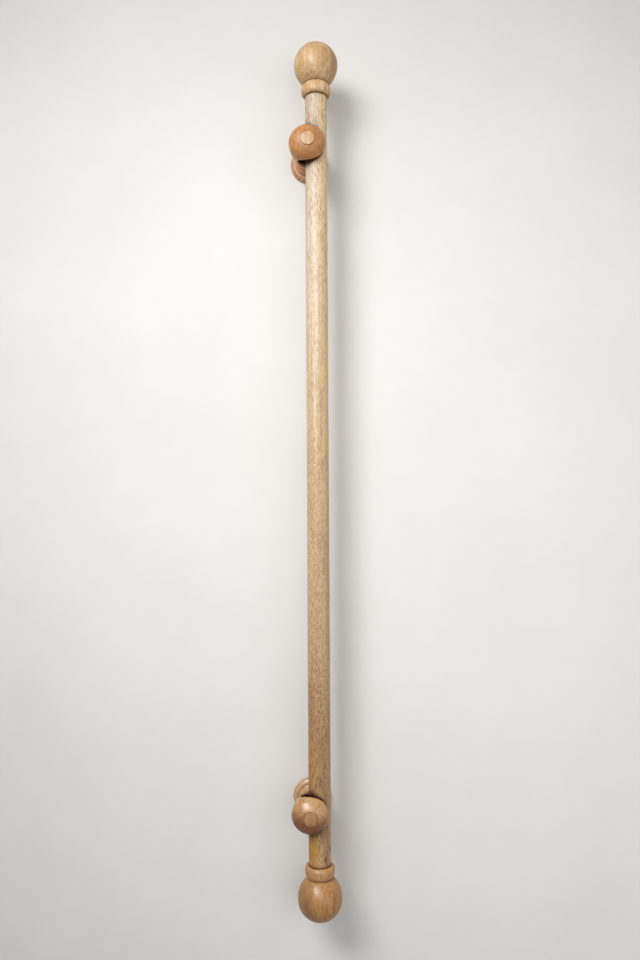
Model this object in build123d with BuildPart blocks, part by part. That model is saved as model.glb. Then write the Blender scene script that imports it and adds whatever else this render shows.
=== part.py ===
from build123d import *
import os
from math import asin, cos, degrees, radians, sin, tan

# A turned wooden curtain rod with two ball finials, carried in the notches of two turned wall brackets.
# Millimetres. X runs along the rod, +Z is up, and the wall is the plane Y = 0 with the room towards -Y.
# The origin lies on the wall, midway between the two wall screws.

# Rod
rod_d = 35.0
rod_length = 1219.0
rod_edge = 0.6

# Finials: a rounded collar, a narrow neck and a ball drawn out towards it, turned from one piece
finial_ball_d = 70.0
finial_ball_inner_length = 38.8
finial_collar_d = 47.5
finial_collar_length = 17.5
finial_collar_round = 7.0
finial_collar_rod_end_d = 38.0
finial_collar_ball_end_d = 42.0
finial_neck_d = 39.0
finial_neck_length = 2.0
finial_gap = 0.3

# Hanger bolt of each finial and the threaded insert that takes it in the rod's end
bolt_d = 8.0
bolt_in_rod = 12.5
bolt_in_finial = 30.0
bolt_point_length = 6.0
bolt_point_d = 3.0
bolt_chamfer = 0.8
insert_d = 12.0
insert_length = 15.0
insert_mouth_chamfer = 0.5
thread_clearance = 0.05
press_clearance = 0.02
drill_allowance = 2.0

# Brackets, sizes along the turning axis measured from the wall
bracket_from_rod_end = 82.5
bracket_base_d = 62.0
bracket_base_edge_height = 3.0
bracket_base_edge_break = 0.8
bracket_ring_d = 46.0
bracket_ring_height = 10.0
bracket_groove_depth = 1.2
bracket_groove_width = 0.8
bracket_bead_d = 44.0
bracket_bead_width = 3.0
bracket_neck_d = 37.0
bracket_neck_height = 25.0
bracket_ball_d = 58.5
bracket_ball_height = 88.0
bracket_ball_nose = 19.5
bracket_shoulder_pull = 32.0
bracket_neck_pull = 12.0

# Notch of each bracket: flared flanks that carry the rod, a round bottom, and ends that open out
rod_to_wall = 70.0
rod_above_bracket_axis = 14.0
notch_flare = 12.0
notch_space_under_rod = 11.6
notch_mouth_height = 40.0
notch_seat_length = 41.0
notch_end_flare = 40.0
notch_edge = 0.6
seat_clearance = 0.3

# Wall screw of each bracket, with the driver's hole that the button plug closes
screw_above_bracket_axis = 1.5
screw_head_d = 9.5
screw_head_height = 3.6
screw_shank_d = 4.8
screw_thread_d = 4.0
screw_in_wall = 45.0
screw_point_length = 5.0
screw_recess_length = 4.6
screw_recess_width = 1.0
screw_recess_depth = 2.0
screw_seat_height = 28.0
screw_clearance = 0.25
driver_hole_d = 14.0

# Button plug
plug_head_d = 21.4
plug_head_thickness = 2.8
plug_dome = 1.4
plug_edge = 0.5
plug_tenon_length = 10.0
plug_clearance = 0.05
plug_head_clearance = 0.3
plug_seat_depth = 3.0

rod_r = rod_d / 2
bracket_spacing = rod_length - 2 * bracket_from_rod_end
bracket_axis_z = -screw_above_bracket_axis
rod_z = bracket_axis_z + rod_above_bracket_axis
bracket_front = bracket_ball_height + bracket_ball_nose
plug_seat_height = bracket_front - plug_seat_depth
sides = (("left", -1), ("right", 1))

os.makedirs("parts", exist_ok=True)


def rod_end_plane(sign):
    """Plane at one end of the rod: local x points out along the rod, local y points up."""
    return Plane(
        origin=(sign * rod_length / 2, -rod_to_wall, rod_z),
        x_dir=(sign, 0, 0),
        z_dir=(0, -sign, 0),
    )


def wall_plane(sign, z):
    """Plane through one bracket: local x points along the rod, local y points out from the wall."""
    return Plane(origin=(sign * bracket_spacing / 2, 0, z), x_dir=(1, 0, 0), z_dir=(0, 0, -1))


def away_from_wall(sign, z, height):
    """Plane parallel to the wall at a height above it, facing the room."""
    return Plane(
        origin=(sign * bracket_spacing / 2, -height, z),
        x_dir=(1, 0, 0),
        z_dir=(0, -1, 0),
    )


def notch_plane(sign):
    """Plane across one notch, centred on the rod's axis: local x points to the wall, local y points up."""
    return Plane(
        origin=(sign * bracket_spacing / 2, -rod_to_wall, rod_z),
        x_dir=(0, 1, 0),
        z_dir=(1, 0, 0),
    )


def dome(edge_r, edge_height, rise):
    """Arc of a sphere centred on the turning axis, from the edge of a round face up to the axis."""
    sphere_r = (edge_r**2 + rise**2) / (2 * rise)
    edge_angle = degrees(asin(1 - rise / sphere_r))
    CenterArc((0, edge_height + rise - sphere_r), sphere_r, edge_angle, 90 - edge_angle)


def turn(plane, along):
    """Revolve the pending profile about one axis line of its sketch plane."""
    direction = plane.x_dir if along == "x" else plane.y_dir
    revolve(axis=Axis(plane.origin, direction))


# Rod, drilled at both ends for its inserts
insert_hole_d = insert_d + 2 * press_clearance
insert_hole_depth = insert_length + drill_allowance
with BuildPart() as rod:
    with BuildSketch(Plane.YZ.offset(-rod_length / 2)):
        with Locations((-rod_to_wall, rod_z)):
            Circle(rod_r)
    extrude(amount=rod_length)
    chamfer(rod.edges().filter_by(GeomType.CIRCLE), rod_edge)
    for side, sign in sides:
        end = rod_end_plane(sign)
        with BuildSketch(Plane(end.origin, x_dir=(0, 1, 0), z_dir=(-sign, 0, 0))):
            Circle(insert_hole_d / 2)
        extrude(amount=insert_hole_depth, mode=Mode.SUBTRACT)
rod.part.label = "rod"
export_step(rod.part, "parts/rod.step")

# Threaded inserts, flush with the rod's ends
for side, sign in sides:
    end = rod_end_plane(sign)
    with BuildPart() as insert:
        with BuildSketch(Plane(end.origin, x_dir=(0, 1, 0), z_dir=(-sign, 0, 0))):
            Circle(insert_d / 2)
            Circle(bolt_d / 2 + thread_clearance, mode=Mode.SUBTRACT)
        extrude(amount=insert_length)
        mouth = insert.faces().sort_by(Axis.X)[0 if sign < 0 else -1]
        chamfer(mouth.inner_wires().edges(), insert_mouth_chamfer)
    insert.part.label = f"{side}_insert"
    export_step(insert.part, f"parts/{side}_insert.step")

# Hanger bolts: machine end in the insert, pointed wood end in the finial
for side, sign in sides:
    end = rod_end_plane(sign)
    with BuildPart() as bolt:
        with BuildSketch(end):
            with BuildLine():
                Polyline(
                    (-bolt_in_rod, 0),
                    (-bolt_in_rod, bolt_d / 2 - bolt_chamfer),
                    (bolt_chamfer - bolt_in_rod, bolt_d / 2),
                    (bolt_in_finial - bolt_point_length, bolt_d / 2),
                    (bolt_in_finial, bolt_point_d / 2),
                    (bolt_in_finial, 0),
                    close=True,
                )
            make_face()
        turn(end, "x")
    bolt.part.label = f"{side}_bolt"
    export_step(bolt.part, f"parts/{side}_bolt.step")

# Finials
collar_end = finial_gap + finial_collar_length
ball_start = collar_end + finial_neck_length
ball_r = finial_ball_d / 2
neck_angle = asin(finial_neck_d / finial_ball_d)
ball_middle = ball_start + finial_ball_inner_length * cos(neck_angle)
collar_widest = finial_gap + finial_collar_round
bolt_hole_depth = bolt_in_finial + drill_allowance
for side, sign in sides:
    end = rod_end_plane(sign)
    with BuildPart() as finial:
        with BuildSketch(end):
            with BuildLine():
                Line((finial_gap, 0), (finial_gap, finial_collar_rod_end_d / 2))
                EllipticalCenterArc(
                    (collar_widest, finial_collar_rod_end_d / 2),
                    finial_collar_round,
                    (finial_collar_d - finial_collar_rod_end_d) / 2,
                    start_angle=90,
                    arc_size=90,
                )
                EllipticalCenterArc(
                    (collar_widest, finial_collar_ball_end_d / 2),
                    finial_collar_length - finial_collar_round,
                    (finial_collar_d - finial_collar_ball_end_d) / 2,
                    start_angle=0,
                    arc_size=90,
                )
                Line((collar_end, finial_collar_ball_end_d / 2), (collar_end, finial_neck_d / 2))
                Line((collar_end, finial_neck_d / 2), (ball_start, finial_neck_d / 2))
                EllipticalCenterArc(
                    (ball_middle, 0),
                    finial_ball_inner_length,
                    ball_r,
                    start_angle=90,
                    arc_size=90 - degrees(neck_angle),
                )
                CenterArc((ball_middle, 0), ball_r, 0, 90)
                Line((ball_middle + ball_r, 0), (finial_gap, 0))
            make_face()
        turn(end, "x")
        with BuildSketch(Plane(end.origin, x_dir=(0, 1, 0), z_dir=(sign, 0, 0))):
            Circle(bolt_d / 2 + thread_clearance)
        extrude(amount=bolt_hole_depth, mode=Mode.SUBTRACT)
    finial.part.label = f"{side}_finial"
    export_step(finial.part, f"parts/{side}_finial.step")

# Bracket profile, read from the wall outwards: base, ring, groove, bead, neck and ball
base_r = bracket_base_d / 2
ring_r = bracket_ring_d / 2
bead_r = bracket_bead_d / 2
bead_start = bracket_ring_height + bracket_groove_width
bead_end = bead_start + bracket_bead_width
bead_side_r = bead_r - bracket_groove_depth
neck_r = bracket_neck_d / 2
bracket_ball_r = bracket_ball_d / 2

# Notch about the rod's axis: flanks tangent to the rod's seat, closed below by a tangent arc
seat_r = rod_r + seat_clearance
flare_sin = sin(radians(notch_flare))
flare_cos = cos(radians(notch_flare))
notch_bottom_r = seat_r - notch_space_under_rod * flare_sin / (1 - flare_sin)
notch_bottom_middle = (notch_bottom_r - seat_r) / flare_sin
notch_reach = max(base_r, bracket_ball_r)
notch_end_spread = (notch_reach - notch_seat_length / 2) * tan(radians(notch_end_flare))


def notch_outline(spread):
    """Closed outline of the notch across the rod, widened all round by a spread."""
    bottom_r = notch_bottom_r + spread
    foot = notch_bottom_middle - bottom_r * flare_sin
    foot_half = bottom_r * flare_cos
    mouth_half = (notch_mouth_height + (seat_r + spread) / flare_sin) * tan(radians(notch_flare))
    ThreePointArc((-foot_half, foot), (0, notch_bottom_middle - bottom_r), (foot_half, foot))
    Polyline(
        (foot_half, foot),
        (mouth_half, notch_mouth_height),
        (-mouth_half, notch_mouth_height),
        (-foot_half, foot),
    )


for side, sign in sides:
    profile_plane = wall_plane(sign, bracket_axis_z)
    with BuildPart() as bracket:
        with BuildSketch(profile_plane):
            with BuildLine():
                Line((0, 0), (base_r - bracket_base_edge_break, 0))
                Line(
                    (base_r - bracket_base_edge_break, 0),
                    (base_r, bracket_base_edge_height),
                )
                EllipticalCenterArc(
                    (ring_r, bracket_base_edge_height),
                    base_r - ring_r,
                    bracket_ring_height - bracket_base_edge_height,
                    start_angle=0,
                    arc_size=90,
                )
                Line((ring_r, bracket_ring_height), (bead_side_r, bracket_ring_height))
                Line((bead_side_r, bracket_ring_height), (bead_side_r, bead_start))
                ThreePointArc(
                    (bead_side_r, bead_start),
                    (bead_r, (bead_start + bead_end) / 2),
                    (bead_side_r, bead_end),
                )
                Bezier(
                    (bead_side_r, bead_end),
                    (neck_r, bead_end),
                    (neck_r, (bead_end + bracket_neck_height) / 2),
                    (neck_r, bracket_neck_height),
                )
                Bezier(
                    (neck_r, bracket_neck_height),
                    (neck_r, bracket_neck_height + bracket_neck_pull),
                    (bracket_ball_r, bracket_ball_height - bracket_shoulder_pull),
                    (bracket_ball_r, bracket_ball_height),
                )
                EllipticalCenterArc(
                    (0, bracket_ball_height),
                    bracket_ball_r,
                    bracket_ball_nose,
                    start_angle=0,
                    arc_size=90,
                )
                Line((0, bracket_front), (0, 0))
            make_face()
        turn(profile_plane, "y")
        with BuildSketch(notch_plane(sign)):
            with BuildLine():
                notch_outline(0)
            make_face()
        extrude(amount=bracket_base_d, both=True, mode=Mode.SUBTRACT)
        rims = bracket.edges(Select.LAST) - bracket.edges().filter_by(GeomType.LINE)
        chamfer(rims, notch_edge)
        for notch_end in (-1, 1):
            with BuildSketch(notch_plane(sign).offset(notch_end * notch_seat_length / 2)):
                with BuildLine():
                    notch_outline(0)
                make_face()
            with BuildSketch(notch_plane(sign).offset(notch_end * notch_reach)):
                with BuildLine():
                    notch_outline(notch_end_spread)
                make_face()
            loft(mode=Mode.SUBTRACT)
        with BuildSketch(away_from_wall(sign, 0, plug_seat_height)):
            Circle(plug_head_d / 2 + plug_head_clearance)
        extrude(amount=bracket_front, mode=Mode.SUBTRACT)
        with BuildSketch(away_from_wall(sign, 0, screw_seat_height)):
            Circle(driver_hole_d / 2)
        extrude(amount=bracket_front, mode=Mode.SUBTRACT)
        with BuildSketch(away_from_wall(sign, 0, 0)):
            Circle(screw_shank_d / 2 + screw_clearance)
        extrude(amount=screw_seat_height, mode=Mode.SUBTRACT)
    bracket.part.label = f"{side}_bracket"
    export_step(bracket.part, f"parts/{side}_bracket.step")

# Wall screws: domed cross-recess head on the floor of the driver's hole, thread behind the wall plane
for side, sign in sides:
    screw_plane = wall_plane(sign, 0)
    with BuildPart() as screw:
        with BuildSketch(screw_plane):
            with BuildLine():
                Polyline(
                    (0, -screw_in_wall),
                    (screw_thread_d / 2, screw_point_length - screw_in_wall),
                    (screw_thread_d / 2, 0),
                    (screw_shank_d / 2, 0),
                    (screw_shank_d / 2, screw_seat_height),
                    (screw_head_d / 2, screw_seat_height),
                )
                dome(screw_head_d / 2, screw_seat_height, screw_head_height)
                Line((0, screw_seat_height + screw_head_height), (0, -screw_in_wall))
            make_face()
        turn(screw_plane, "y")
        with BuildSketch(away_from_wall(sign, 0, screw_seat_height + screw_head_height)):
            Rectangle(screw_recess_length, screw_recess_width)
            Rectangle(screw_recess_width, screw_recess_length)
        extrude(amount=-screw_recess_depth, mode=Mode.SUBTRACT)
    screw.part.label = f"{side}_wall_screw"
    export_step(screw.part, f"parts/{side}_wall_screw.step")

# Button plugs: a tenon in the driver's hole and a domed head on its seat
for side, sign in sides:
    plug_plane = wall_plane(sign, 0)
    tenon_r = driver_hole_d / 2 - plug_clearance
    with BuildPart() as plug:
        with BuildSketch(plug_plane):
            with BuildLine():
                Polyline(
                    (0, plug_seat_height - plug_tenon_length),
                    (tenon_r - plug_edge, plug_seat_height - plug_tenon_length),
                    (tenon_r, plug_seat_height - plug_tenon_length + plug_edge),
                    (tenon_r, plug_seat_height),
                    (plug_head_d / 2, plug_seat_height),
                    (plug_head_d / 2, plug_seat_height + plug_head_thickness),
                )
                dome(plug_head_d / 2, plug_seat_height + plug_head_thickness, plug_dome)
                Line(
                    (0, plug_seat_height + plug_head_thickness + plug_dome),
                    (0, plug_seat_height - plug_tenon_length),
                )
            make_face()
        turn(plug_plane, "y")
    plug.part.label = f"{side}_plug"
    export_step(plug.part, f"parts/{side}_plug.step")
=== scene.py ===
"""Looks of a turned wooden curtain rod with ball finials in two notched wall brackets.

Metres, in the frame of the solids: X along the rod, the wall at Y = 0 with the room towards -Y, Z up.
"""
import math

import bpy
from mathutils import Matrix, Vector


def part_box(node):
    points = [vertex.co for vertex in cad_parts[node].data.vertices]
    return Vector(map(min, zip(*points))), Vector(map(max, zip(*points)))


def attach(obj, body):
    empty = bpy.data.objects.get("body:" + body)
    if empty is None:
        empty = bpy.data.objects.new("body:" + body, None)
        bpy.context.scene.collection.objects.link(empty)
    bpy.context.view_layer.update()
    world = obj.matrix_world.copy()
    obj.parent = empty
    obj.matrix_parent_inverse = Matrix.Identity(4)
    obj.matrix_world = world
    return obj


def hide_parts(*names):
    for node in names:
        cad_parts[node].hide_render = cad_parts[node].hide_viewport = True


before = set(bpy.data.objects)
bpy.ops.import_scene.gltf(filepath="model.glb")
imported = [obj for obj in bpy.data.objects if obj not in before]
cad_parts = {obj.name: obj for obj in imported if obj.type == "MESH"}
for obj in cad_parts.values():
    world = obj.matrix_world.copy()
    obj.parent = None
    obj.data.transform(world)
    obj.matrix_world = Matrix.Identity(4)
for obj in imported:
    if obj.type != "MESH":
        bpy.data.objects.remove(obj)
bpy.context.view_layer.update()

SIDES = (("left", -1), ("right", 1))
MM = 0.001


def srgb(red, green, blue):
    """Linear colour of an 8-bit display colour."""
    def linear(level):
        level /= 255
        return level / 12.92 if level <= 0.04045 else ((level + 0.055) / 1.055) ** 2.4
    return (linear(red), linear(green), linear(blue), 1.0)


class Graph:
    """A material's node tree, with short calls for the nodes used here."""

    def __init__(self, name):
        self.material = bpy.data.materials.new(name)
        self.material.use_nodes = True
        self.tree = self.material.node_tree
        self.tree.nodes.clear()
        self.place = self.add("TexCoord").outputs["Object"]

    def add(self, kind, inputs=None, **settings):
        node = self.tree.nodes.new("ShaderNode" + kind)
        for key, value in settings.items():
            setattr(node, key, value)
        for key, value in (inputs or {}).items():
            if isinstance(value, bpy.types.NodeSocket):
                self.tree.links.new(value, node.inputs[key])
            else:
                node.inputs[key].default_value = value
        return node

    def math(self, operation, first, second=0.0, third=0.0):
        return self.add("Math", {0: first, 1: second, 2: third}, operation=operation).outputs[0]

    def product(self, *factors):
        result = factors[0]
        for factor in factors[1:]:
            result = self.math("MULTIPLY", result, factor)
        return result

    def length(self, first, second):
        squares = self.math("MULTIPLY_ADD", second, second, self.math("MULTIPLY", first, first))
        return self.math("SQRT", squares)

    def vector(self, operation, first, second):
        return self.add("VectorMath", {0: first, 1: second}, operation=operation).outputs[0]

    def axes(self, vector):
        parts = self.add("SeparateXYZ", {0: vector})
        return parts.outputs[0], parts.outputs[1], parts.outputs[2]

    def scaled(self, scale):
        return self.vector("MULTIPLY", self.place, (scale, scale, scale))

    def noise(self, vector, detail, roughness):
        inputs = {"Vector": vector, "Scale": 1.0, "Detail": detail, "Roughness": roughness}
        return self.add("TexNoise", inputs).outputs["Fac"]

    def between(self, value, low, high):
        """0 below low, 1 above high, smooth between them. Low may be the larger one."""
        inputs = {"Value": value, "From Min": low, "From Max": high}
        return self.add("MapRange", inputs, interpolation_type="SMOOTHSTEP").outputs["Result"]

    def openness(self, reach):
        """1 on an open face, towards 0 where other faces within a reach close it in."""
        return self.add("AmbientOcclusion", {"Distance": reach}, samples=8).outputs["AO"]

    def blend(self, factor, first, second, mode="MIX"):
        node = self.add("Mix", {0: factor, 6: first, 7: second}, data_type="RGBA", blend_type=mode)
        return node.outputs[2]

    def tinted(self, colour, field, low, high, share, other):
        """A colour turned by a share towards another where a field passes from low to high."""
        return self.blend(self.product(self.between(field, low, high), share), colour, other)

    def ramp(self, value, stops):
        node = self.add("ValToRGB", {0: value})
        elements = node.color_ramp.elements
        while len(elements) < len(stops):
            elements.new(0.5)
        for element, (position, colour) in zip(elements, stops):
            element.position = position
            element.color = colour
        return node.outputs["Color"]

    def surface(self, inputs, height, depth, strength):
        bump = self.add("Bump", {"Height": height, "Distance": depth, "Strength": strength})
        shader = self.add("BsdfPrincipled", dict(inputs, Normal=bump.outputs[0]))
        self.add("OutputMaterial", {"Surface": shader.outputs[0]})
        return self.material


def grain(graph, axis, seed, pith, ring_width):
    """Fields of solid wood: growth rings round a pith line, and noise drawn out along the grain."""
    shifted = graph.vector("ADD", graph.place, (seed, 0.7 * seed, 1.3 * seed))

    def stretched(vector, along, across):
        factors = [across, across, across]
        factors["XYZ".index(axis)] = along
        return graph.vector("MULTIPLY", vector, factors)

    def field(along, across, detail, roughness):
        return graph.noise(stretched(shifted, along, across), detail, roughness)

    rings = graph.add(
        "TexWave",
        {
            "Vector": stretched(graph.vector("SUBTRACT", graph.place, pith), 0.12, 1.0),
            "Scale": math.pi / (10 * ring_width),
            "Distortion": 5.0,
            "Detail": 2.0,
            "Detail Scale": 0.35,
        },
        wave_type="RINGS", rings_direction=axis, wave_profile="SAW",
    )
    return {
        "ring": rings.outputs["Fac"],
        "streak": field(2.4, 130.0, 4.0, 0.6),
        "line": field(10.0, 310.0, 3.0, 0.6),
        "fibre": field(24.0, 700.0, 3.0, 0.6),
        "mottle": field(30.0, 75.0, 3.0, 0.55),
        "fleck": field(75.0, 430.0, 2.0, 0.5),
        "pore": field(150.0, 900.0, 1.0, 0.5),
        "speckle": field(230.0, 480.0, 2.0, 0.6),
        "cloud": field(6.0, 20.0, 2.0, 0.5),
    }


# Painted shade in creases: how far a neighbour darkens the wood, from which openness to which, and the
# shade painted there.
TURNED_PAINTED_SHADE = (18.0 * MM, 0.85, 0.30, srgb(150, 106, 66))
ROD_PAINTED_SHADE = (45.0 * MM, 0.95, 0.64, srgb(104, 62, 32))

# Clear finish: gloss of the wood below it, its own roughness and index, and the relief of the grain.
WOOD_SPECULAR = 0.15
COAT_ROUGHNESS = 0.28
COAT_INDEX = 1.9
RELIEF_DEPTH = 0.12 * MM
RELIEF_STRENGTH = 0.3


def finished_wood(graph, colour, fields, roughness, coat, painted_crease_shade):
    """Clear satin finish over a wood colour: painted shade in creases, where neighbouring faces close in,
    with open pores and raised fibre.
    """
    reach, open_level, closed_level, shade = painted_crease_shade
    # Painted shade: the wood is darkened where other faces close it in.
    painted_shade_colour = graph.blend(1.0, colour, shade, "MULTIPLY")
    painted_shade_share = graph.between(graph.openness(reach), open_level, closed_level)
    colour = graph.blend(painted_shade_share, colour, painted_shade_colour)
    pores = graph.between(fields["pore"], 0.60, 0.72)
    relief = graph.math("MULTIPLY_ADD", fields["fibre"], 0.5, graph.math("MULTIPLY", pores, -1.0))
    gloss = graph.math("MULTIPLY_ADD", fields["mottle"], 0.16, roughness - 0.08)
    inputs = {
        "Base Color": colour,
        "Roughness": gloss,
        "Specular IOR Level": WOOD_SPECULAR,
        "Coat Weight": coat,
        "Coat Roughness": COAT_ROUGHNESS,
        "Coat IOR": COAT_INDEX,
    }
    return graph.surface(inputs, relief, RELIEF_DEPTH, RELIEF_STRENGTH)


def centred(graph, node, axis):
    """Place along one axis inside a solid's box, from -1 at its low side to 1 at its high side."""
    low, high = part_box(node)
    at = "XYZ".index(axis)
    half = (high[at] - low[at]) / 2
    middle = (high[at] + low[at]) / 2
    return graph.math("MULTIPLY_ADD", graph.axes(graph.place)[at], 1 / half, -middle / half)


def rod_wood():
    """Pale cream at the left end, tan in the middle and brown with an ochre streak at the right end."""
    graph = Graph("rod_wood")
    fields = grain(graph, "X", 3.1, (0.0, 0.02, 0.10), 5.0 * MM)
    # Share of the length, from 0 at the left end to 1 at the right end, with a wandering edge.
    wander = graph.math("MULTIPLY_ADD", fields["cloud"], 0.24, -0.12)
    share = graph.math("ADD", graph.math("MULTIPLY_ADD", centred(graph, "rod", "X"), 0.5, 0.5), wander)
    height = centred(graph, "rod", "Z")
    body = graph.ramp(share, [
        (0.00, srgb(208, 188, 162)),
        (0.14, srgb(219, 201, 177)),
        (0.34, srgb(211, 186, 153)),
        (0.48, srgb(197, 163, 126)),
        (0.68, srgb(194, 161, 126)),
        (0.84, srgb(171, 131, 94)),
        (0.90, srgb(171, 132, 95)),
        (1.00, srgb(193, 156, 115)),
    ])
    pale = graph.ramp(share, [
        (0.00, srgb(234, 222, 204)),
        (0.38, srgb(231, 213, 187)),
        (0.60, srgb(212, 184, 150)),
        (1.00, srgb(188, 150, 110)),
    ])
    dark = graph.ramp(share, [
        (0.00, srgb(164, 128, 96)),
        (0.40, srgb(172, 134, 98)),
        (0.70, srgb(148, 110, 78)),
        (1.00, srgb(80, 51, 31)),
    ])
    # The upper side is golden, most of all over the left half: partly the wood's golden streak, partly
    # painted light that makes that side lighter.
    ragged = graph.math("MULTIPLY_ADD", fields["streak"], 0.9, graph.math("ADD", height, -0.45))
    left_share = graph.math("MULTIPLY_ADD", graph.between(share, 0.60, 0.40), 0.55, 0.17)
    golden = graph.product(graph.between(ragged, 0.0, 0.6), left_share)
    colour = graph.tinted(body, fields["streak"], 0.50, 0.68, 0.8, pale)
    colour = graph.blend(golden, colour, srgb(242, 206, 148))
    colour = graph.tinted(colour, fields["streak"], 0.45, 0.30, 0.55, dark)
    colour = graph.tinted(colour, fields["ring"], 0.55, 1.0, 0.18, dark)
    colour = graph.tinted(colour, fields["mottle"], 0.50, 0.72, 0.35, dark)
    # The ochre streak lies on the lower side of the right end and has a torn, paler edge.
    torn = graph.math("MULTIPLY_ADD", graph.math("ADD", fields["mottle"], -0.5), 1.3, ragged)
    far_end = graph.between(share, 0.87, 0.95)
    ochre = graph.product(far_end, graph.between(torn, 0.05, -0.35), 0.85)
    colour = graph.blend(ochre, colour, srgb(192, 141, 56))
    seam = graph.product(far_end, graph.between(graph.math("ABSOLUTE", torn), 0.16, 0.02), 0.5)
    colour = graph.blend(seam, colour, srgb(206, 174, 116))
    # Flecks and pores are strongest at both ends, speckles right of the middle.
    busy = graph.math("MAXIMUM", graph.between(share, 0.30, 0.05), graph.between(share, 0.80, 0.95))
    fleck_share = graph.math("MULTIPLY_ADD", busy, 0.35, 0.40)
    colour = graph.tinted(colour, fields["fleck"], 0.54, 0.66, fleck_share, dark)
    colour = graph.tinted(colour, fields["pore"], 0.56, 0.70, fleck_share, dark)
    colour = graph.tinted(colour, fields["pore"], 0.46, 0.32, 0.30, pale)
    mid_length = graph.product(graph.between(share, 0.25, 0.60), graph.between(share, 0.92, 0.80))
    speckled = graph.math("MULTIPLY_ADD", mid_length, 0.45, 0.20)
    colour = graph.tinted(colour, fields["speckle"], 0.52, 0.66, speckled, dark)
    colour = graph.tinted(colour, fields["speckle"], 0.48, 0.34, speckled, pale)
    return finished_wood(graph, colour, fields, 0.42, 0.08, ROD_PAINTED_SHADE)


SEAT_RADIUS = 17.8 * MM
NOTCH_FLARE = math.radians(12.0)
NOTCH_BOTTOM = 29.4 * MM
BARE_MARGIN = 0.4 * MM
# Notch colours by openness: painted shade, near black, where the rod closes it in; a darker bare-wood
# brown where it is open.
NOTCH_REACH = 30.0 * MM
NOTCH_PAINTED_SHADES = [(0.25, srgb(58, 24, 10)), (0.70, srgb(170, 114, 70))]


def notch_inside(graph):
    """1 on the bare faces of a bracket's notch, 0 on its turned outside."""
    low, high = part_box("rod")
    middle = (low + high) / 2
    _, across, above = graph.axes(graph.vector("SUBTRACT", graph.place, middle))
    across = graph.math("ABSOLUTE", across)
    slope = math.sin(NOTCH_FLARE)
    lean = graph.math("MULTIPLY", above, -slope)
    beyond = graph.math("MULTIPLY_ADD", across, math.cos(NOTCH_FLARE), lean)
    within_flanks = graph.math("LESS_THAN", beyond, SEAT_RADIUS + BARE_MARGIN)
    bottom_radius = (SEAT_RADIUS - slope * NOTCH_BOTTOM) / (1 - slope)
    bottom_middle = bottom_radius - NOTCH_BOTTOM
    drop = graph.math("MINIMUM", graph.math("SUBTRACT", above, bottom_middle), 0.0)
    reach = graph.length(across, drop)
    is_high = graph.math("GREATER_THAN", drop, -slope * bottom_radius)
    within_bottom = graph.math("LESS_THAN", reach, bottom_radius + BARE_MARGIN)
    return graph.product(within_flanks, graph.math("MAXIMUM", is_high, within_bottom))


# Painted shade round a plug: its width, its share and its colour.
PLUG_SHADE_WIDTH = 1.3 * MM
PLUG_SHADE_SHARE = 0.65
PLUG_PAINTED_SHADE = srgb(84, 44, 22)


def plug_ring_shade(graph, plug):
    """Thin ring of painted shade round a plug's edge, where the groove between plug and ball lies in
    shade; 0 away from it.
    """
    low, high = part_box(plug)
    middle = (low + high) / 2
    radius = (high.x - low.x) / 2
    aside, _, above = graph.axes(graph.vector("SUBTRACT", graph.place, middle))
    reach = graph.length(above, aside)
    return graph.product(graph.between(reach, radius + PLUG_SHADE_WIDTH, radius), PLUG_SHADE_SHARE)


def turned_wood(name, axis, seed, pith, rings, body, pale, dark, coat, stains_and_painted_light=(), plug=None):
    """Turned wood with its grain along an axis.

    A stain or patch of painted light or shade is a node, the direction in its box that it grows in,
    its tint, its share and how far it follows the rings. A bracket also has a notch with painted
    shade inside and a ring of painted shade round its plug.
    """
    graph = Graph(name)
    ring_width, ring_share = rings
    fields = grain(graph, axis, seed, pith, ring_width)
    colour = graph.tinted(body, fields["streak"], 0.50, 0.66, 0.75, pale)
    colour = graph.tinted(colour, fields["streak"], 0.48, 0.32, 0.65, dark)
    colour = graph.tinted(colour, fields["line"], 0.50, 0.66, 0.45, dark)
    colour = graph.tinted(colour, fields["line"], 0.46, 0.32, 0.40, pale)
    colour = graph.tinted(colour, fields["cloud"], 0.45, 0.68, 0.45, dark)
    colour = graph.tinted(colour, fields["ring"], 0.35, 1.0, ring_share, dark)
    colour = graph.tinted(colour, fields["fleck"], 0.56, 0.72, 0.36, dark)
    colour = graph.tinted(colour, fields["fibre"], 0.40, 0.65, 0.34, dark)
    colour = graph.tinted(colour, fields["speckle"], 0.50, 0.36, 0.15, pale)
    for node, direction, tint, share, banding in stains_and_painted_light:
        patch = graph.math("MULTIPLY_ADD", fields["cloud"], 0.6, -0.3)
        for axis_name, weight in zip("XYZ", direction):
            patch = graph.math("MULTIPLY_ADD", centred(graph, node, axis_name), weight, patch)
        bands = graph.math("MULTIPLY_ADD", fields["ring"], banding, 1.0 - banding)
        colour = graph.blend(graph.product(graph.between(patch, 0.0, 1.2), bands, share), colour, tint)
    if plug:
        colour = graph.blend(plug_ring_shade(graph, plug), colour, PLUG_PAINTED_SHADE)
        # Inside the notch: painted shade where the rod closes it in, a darker bare-wood brown where it is
        # open.
        notch_painted_shade = graph.ramp(graph.openness(NOTCH_REACH), NOTCH_PAINTED_SHADES)
        colour = graph.blend(notch_inside(graph), colour, notch_painted_shade)
    return finished_wood(graph, colour, fields, 0.40, coat, TURNED_PAINTED_SHADE)


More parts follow.
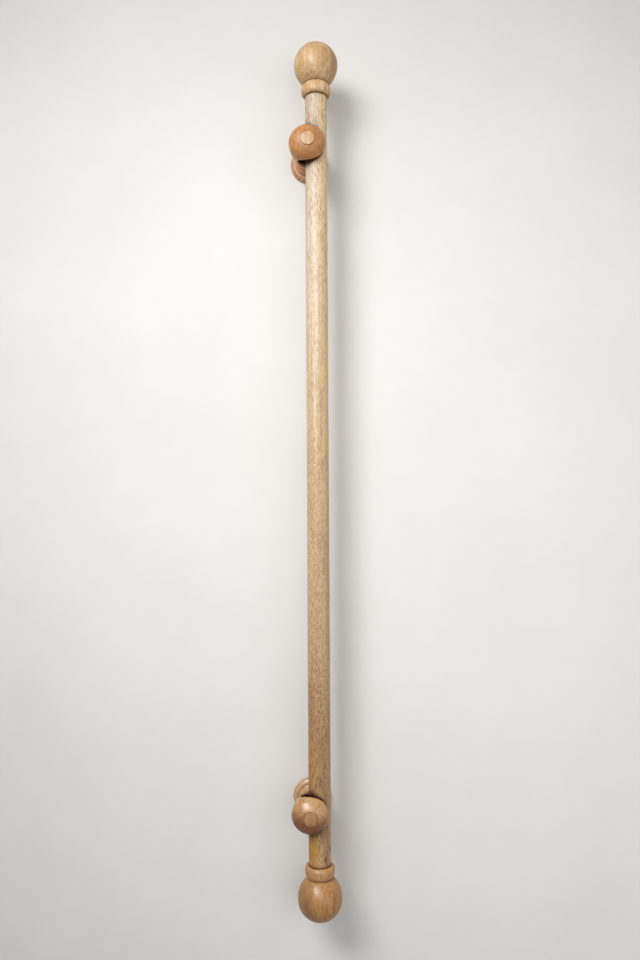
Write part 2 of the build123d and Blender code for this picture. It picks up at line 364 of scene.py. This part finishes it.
def metal(name, colour, roughness):
    """Plated metal with fine turning marks and a slight stain."""
    graph = Graph(name)
    marks = graph.noise(graph.scaled(900.0), 2.0, 0.6)
    stain = graph.noise(graph.scaled(160.0), 3.0, 0.6)
    dull = (colour[0] * 0.7, colour[1] * 0.68, colour[2] * 0.64, 1.0)
    tint = graph.blend(graph.between(stain, 0.35, 0.70), colour, dull)
    gloss = graph.math("MULTIPLY_ADD", marks, 0.2, roughness - 0.1)
    return graph.surface({"Base Color": tint, "Metallic": 1.0, "Roughness": gloss}, marks, 0.03 * MM, 0.4)


def dress(node, material):
    """Give a solid one material."""
    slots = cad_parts[node].data.materials
    slots.clear()
    slots.append(material)


dress("rod", rod_wood())
# Growth rings: their width, and the share of the dark colour in them.
FINIAL_RINGS = (5.5 * MM, 0.26)
BRACKET_RINGS = (9.0 * MM, 0.22)
FAINT_BRACKET_RINGS = (9.0 * MM, 0.12)
PLUG_RINGS = (4.0 * MM, 0.20)
dress("left_finial", turned_wood(
    "left_finial_wood", "X", 11.3, (0.0, -0.02, 0.11), FINIAL_RINGS,
    srgb(215, 179, 130), srgb(243, 219, 183), srgb(174, 127, 76), 0.15,
    # Darker towards the ball's outer end and its upper side.
    [("left_finial", (-0.4, 0.0, 0.6), srgb(160, 112, 62), 0.6, 0.3)]))
dress("right_finial", turned_wood(
    "right_finial_wood", "X", 17.9, (0.0, -0.12, 0.05), FINIAL_RINGS,
    srgb(184, 133, 79), srgb(203, 157, 103), srgb(135, 89, 48), 0.22,
    [
        # Dark ringed patch on the lower side is the wood's own figure; the darkening towards the outer
        # end is painted shade.
        ("right_finial", (0.9, 0.0, -1.1), srgb(112, 76, 34), 0.6, 0.5),
        # Painted light: paler towards the collar end, the side that faces the lamp.
        ("right_finial", (-1.4, 0.0, 0.0), srgb(200, 160, 114), 0.35, 0.0),
    ]))
dress("left_bracket", turned_wood(
    "left_bracket_wood", "Y", 23.7, (-0.50, 0.0, 0.09), BRACKET_RINGS,
    srgb(198, 141, 90), srgb(211, 157, 107), srgb(160, 103, 59), 0.14,
    # Painted light: paler towards the base at the wall.
    [("left_bracket", (0.0, 1.4, 0.0), srgb(196, 156, 124), 0.35, 0.0)], "left_plug"))
dress("right_bracket", turned_wood(
    "right_bracket_wood", "Y", 29.2, (0.60, 0.0, 0.06), FAINT_BRACKET_RINGS,
    srgb(193, 151, 102), srgb(209, 170, 122), srgb(154, 107, 62), 0.36,
    [
        # Dark red-brown towards the ball's right, front and lower side: partly the wood's own colour,
        # partly painted shade.
        ("right_bracket", (1.0, -0.60, -0.25), srgb(106, 40, 8), 0.90, 0.1),
        # Painted light: paler towards the base at the wall.
        ("right_bracket", (0.0, 1.4, 0.0), srgb(206, 168, 131), 0.4, 0.0),
    ],
    "right_plug"))
dress("left_plug", turned_wood(
    "left_plug_wood", "X", 31.4, (0.0, -0.06, 0.08), PLUG_RINGS,
    srgb(206, 170, 130), srgb(220, 188, 150), srgb(182, 140, 98), 0.09))
dress("right_plug", turned_wood(
    "right_plug_wood", "X", 37.8, (0.0, -0.07, 0.06), PLUG_RINGS,
    srgb(176, 135, 95), srgb(192, 153, 114), srgb(146, 102, 66), 0.14))
steel = metal("zinc_steel", srgb(196, 196, 192), 0.34)
brass = metal("insert_brass", srgb(205, 170, 105), 0.30)
for side, _ in SIDES:
    dress(f"{side}_wall_screw", steel)
    dress(f"{side}_insert", brass)

MACHINE_LENGTH = 12.5 * MM
MACHINE_PITCH = 1.25 * MM
MACHINE_DEPTH = 0.65 * MM
MACHINE_RIDGE = 1.0
WOOD_PITCH = 2.8 * MM
WOOD_DEPTH = 1.0 * MM
WOOD_RIDGE = 0.55
POINT_LENGTH = 6.0 * MM
POINT_RADIUS = 1.5 * MM
START_LENGTH = 0.8 * MM
STEPS_PER_TURN = 32
RINGS_PER_PITCH = 8


def ridge(phase, width):
    """Height from 0 to 1 at a phase of a thread's pitch, for a ridge as wide as a share of it."""
    return max(0.0, 1.0 - abs(2.0 * (phase % 1.0) - 1.0) / width)


def thread_radius(distance, turn, length, crest):
    """Radius of a hanger bolt at a distance from its machine end: both threads, then the point."""
    if distance < MACHINE_LENGTH:
        height = ridge(distance / MACHINE_PITCH - turn, MACHINE_RIDGE)
        start = min(1.0, distance / START_LENGTH)
        return crest - MACHINE_DEPTH * (1.0 - height * start)
    taper = max(0.0, (distance - length + POINT_LENGTH) / POINT_LENGTH)
    outer = crest + (POINT_RADIUS - crest) * taper
    height = ridge((distance - MACHINE_LENGTH) / WOOD_PITCH - turn, WOOD_RIDGE)
    return outer - WOOD_DEPTH * (1.0 - taper) * (1.0 - height)


def add_piece(name, corners, faces, material):
    """New mesh object with one material."""
    mesh = bpy.data.meshes.new(name)
    mesh.from_pydata(corners, [], faces)
    mesh.materials.append(material)
    piece = bpy.data.objects.new(name, mesh)
    bpy.context.scene.collection.objects.link(piece)
    return piece


def threaded_bolt(side, sign):
    """Hanger bolt with both threads cut, in place of the plain one."""
    low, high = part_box(f"{side}_bolt")
    crest = (high.z - low.z) / 2
    length = high.x - low.x
    start = Vector((low.x if sign > 0 else high.x, (low.y + high.y) / 2, (low.z + high.z) / 2))
    outward = Vector((sign, 0.0, 0.0))
    across = Vector((0.0, 1.0, 0.0))
    upright = outward.cross(across)
    step = MACHINE_PITCH / RINGS_PER_PITCH
    count = round(length / step)
    corners = []
    for ring in range(count + 1):
        distance = length * ring / count
        for spoke in range(STEPS_PER_TURN):
            turn = spoke / STEPS_PER_TURN
            radius = thread_radius(distance, turn, length, crest)
            around = across * math.cos(math.tau * turn) + upright * math.sin(math.tau * turn)
            corners.append(start + outward * distance + around * radius)
    faces = []
    for ring in range(count):
        for spoke in range(STEPS_PER_TURN):
            here = ring * STEPS_PER_TURN + spoke
            beside = ring * STEPS_PER_TURN + (spoke + 1) % STEPS_PER_TURN
            faces.append((here, beside, beside + STEPS_PER_TURN, here + STEPS_PER_TURN))
    faces.append(tuple(reversed(range(STEPS_PER_TURN))))
    faces.append(tuple(range(count * STEPS_PER_TURN, (count + 1) * STEPS_PER_TURN)))
    piece = add_piece(f"{side}_bolt_threads", corners, faces, steel)
    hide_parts(f"{side}_bolt")
    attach(piece, f"{side}_bolt")


SCREW_CORE = 2.0 * MM
SCREW_CREST = 2.4 * MM
SCREW_PITCH = 2.2 * MM
SCREW_RIDGE = 0.45 * MM
SCREW_THREAD_START = 1.5 * MM
SCREW_POINT = 5.0 * MM
SCREW_SINK = 0.1 * MM


def screw_thread(side):
    """Helical ridge on the part of a wall screw that stands in the wall."""
    low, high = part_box(f"{side}_wall_screw")
    middle = (low + high) / 2
    tip = high.y
    turns = (tip - SCREW_POINT / 4 - SCREW_THREAD_START) / SCREW_PITCH
    count = int(turns * STEPS_PER_TURN)
    corners = []
    for step in range(count + 1):
        depth = SCREW_THREAD_START + SCREW_PITCH * step / STEPS_PER_TURN
        thin = min(1.0, (tip - depth) / SCREW_POINT)
        grow = min(1.0, step / STEPS_PER_TURN, (count - step) / STEPS_PER_TURN)
        angle = math.tau * step / STEPS_PER_TURN
        around = Vector((math.cos(angle), 0.0, -math.sin(angle)))
        foot = (SCREW_CORE - SCREW_SINK) * thin
        crest = foot + (SCREW_CREST - foot) * grow * thin
        for offset, radius in ((-SCREW_RIDGE, foot), (0.0, crest), (SCREW_RIDGE, foot)):
            corners.append(Vector((middle.x, depth + offset, middle.z)) + around * radius)
    faces = []
    for step in range(count):
        here = 3 * step
        faces.append((here, here + 1, here + 4, here + 3))
        faces.append((here + 1, here + 2, here + 5, here + 4))
    piece = add_piece(f"{side}_screw_thread", corners, faces, steel)
    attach(piece, "wall_brackets")


for side, sign in SIDES:
    threaded_bolt(side, sign)
    screw_thread(side)


def plaster():
    """Pale plaster that shows its front only, so that the object's back can be seen."""
    graph = Graph("plaster")
    cloud = graph.noise(graph.scaled(4.0), 5.0, 0.6)
    colour = graph.blend(graph.between(cloud, 0.3, 0.7), srgb(234, 233, 231), srgb(230, 229, 226))
    inputs = {"Base Color": colour, "Roughness": 0.9, "Specular IOR Level": 0.1}
    shader = graph.add("BsdfPrincipled", inputs)
    clear = graph.add("BsdfTransparent")
    back = graph.add("NewGeometry").outputs["Backfacing"]
    mixed = graph.add("MixShader", {0: back, 1: shader.outputs[0], 2: clear.outputs[0]})
    graph.add("OutputMaterial", {"Surface": mixed.outputs[0]})
    return graph.material


WALL_HALF = 3.0
WALL_PLACE = -0.4 * MM
wall_corners = [
    (-WALL_HALF, WALL_PLACE, -WALL_HALF),
    (WALL_HALF, WALL_PLACE, -WALL_HALF),
    (WALL_HALF, WALL_PLACE, WALL_HALF),
    (-WALL_HALF, WALL_PLACE, WALL_HALF),
]
add_piece("wall", wall_corners, [(0, 1, 2, 3)], plaster())


def soft_light(name, place, target, size, spread, power, only_gloss=False):
    """Square soft light at a place, facing a target. A card for highlights lights no matt surface."""
    lamp = bpy.data.lights.new(name, "AREA")
    lamp.shape = "SQUARE"
    lamp.size = size
    lamp.spread = math.radians(spread)
    lamp.energy = power
    holder = bpy.data.objects.new(name, lamp)
    holder.location = place
    holder.rotation_euler = (Vector(target) - Vector(place)).to_track_quat("-Z", "Y").to_euler()
    holder.visible_camera = False
    holder.visible_diffuse = not only_gloss
    bpy.context.scene.collection.objects.link(holder)


soft_light("key", (-1.25, -1.55, -0.82), (0.18, 0.0, 0.18), size=1.0, spread=70.0, power=7.2)
soft_light("card", (-0.7, -2.0, -0.52), (0.2, 0.0, 0.0), size=1.1, spread=180.0, power=30.0,
           only_gloss=True)
soft_light("front", (-0.5, -2.3, 0.1), (-0.1, 0.0, 0.0), size=2.0, spread=180.0, power=8.2)
soft_light("panel", (0.1, -2.2, 1.2), (0.0, 0.0, 0.25), size=2.2, spread=180.0, power=17.0)

AMBIENT = 0.22
BACKDROP = 0.70
world = bpy.data.worlds.new("studio")
world.use_nodes = True
world_tree = world.node_tree
background = world_tree.nodes["Background"]
background.inputs["Color"].default_value = (1.0, 0.98, 0.95, 1.0)
paths = world_tree.nodes.new("ShaderNodeLightPath")
seen = paths.outputs["Is Camera Ray"]
for ray in ("Is Glossy Ray", "Is Transmission Ray"):
    either = world_tree.nodes.new("ShaderNodeMath")
    either.operation = "MAXIMUM"
    world_tree.links.new(seen, either.inputs[0])
    world_tree.links.new(paths.outputs[ray], either.inputs[1])
    seen = either.outputs[0]
level = world_tree.nodes.new("ShaderNodeMapRange")
level.inputs["To Min"].default_value = AMBIENT
level.inputs["To Max"].default_value = BACKDROP
world_tree.links.new(seen, level.inputs["Value"])
world_tree.links.new(level.outputs["Result"], background.inputs["Strength"])
bpy.context.scene.world = world

IMAGE_HEIGHT = 960
FOCAL_PIXELS = 825
camera_place = Vector((0.0505, -1.3794, 0.0530))
camera_target = Vector((0.0058, 0.0, 0.0138))
camera_roll = 0.0055
camera_data = bpy.data.cameras.new("camera")
camera_data.lens = FOCAL_PIXELS * camera_data.sensor_width / IMAGE_HEIGHT
camera = bpy.data.objects.new("camera", camera_data)
forward = (camera_target - camera_place).normalized()
image_right = forward.cross(Vector((-1.0, 0.0, 0.0))).normalized()
image_up = image_right.cross(forward)
turned = Matrix((image_right, image_up, -forward)).transposed() @ Matrix.Rotation(-camera_roll, 3, "Z")
camera.matrix_world = Matrix.Translation(camera_place) @ turned.to_4x4()
bpy.context.scene.collection.objects.link(camera)
bpy.context.scene.camera = camera

bpy.context.scene.view_settings.view_transform = "Standard"
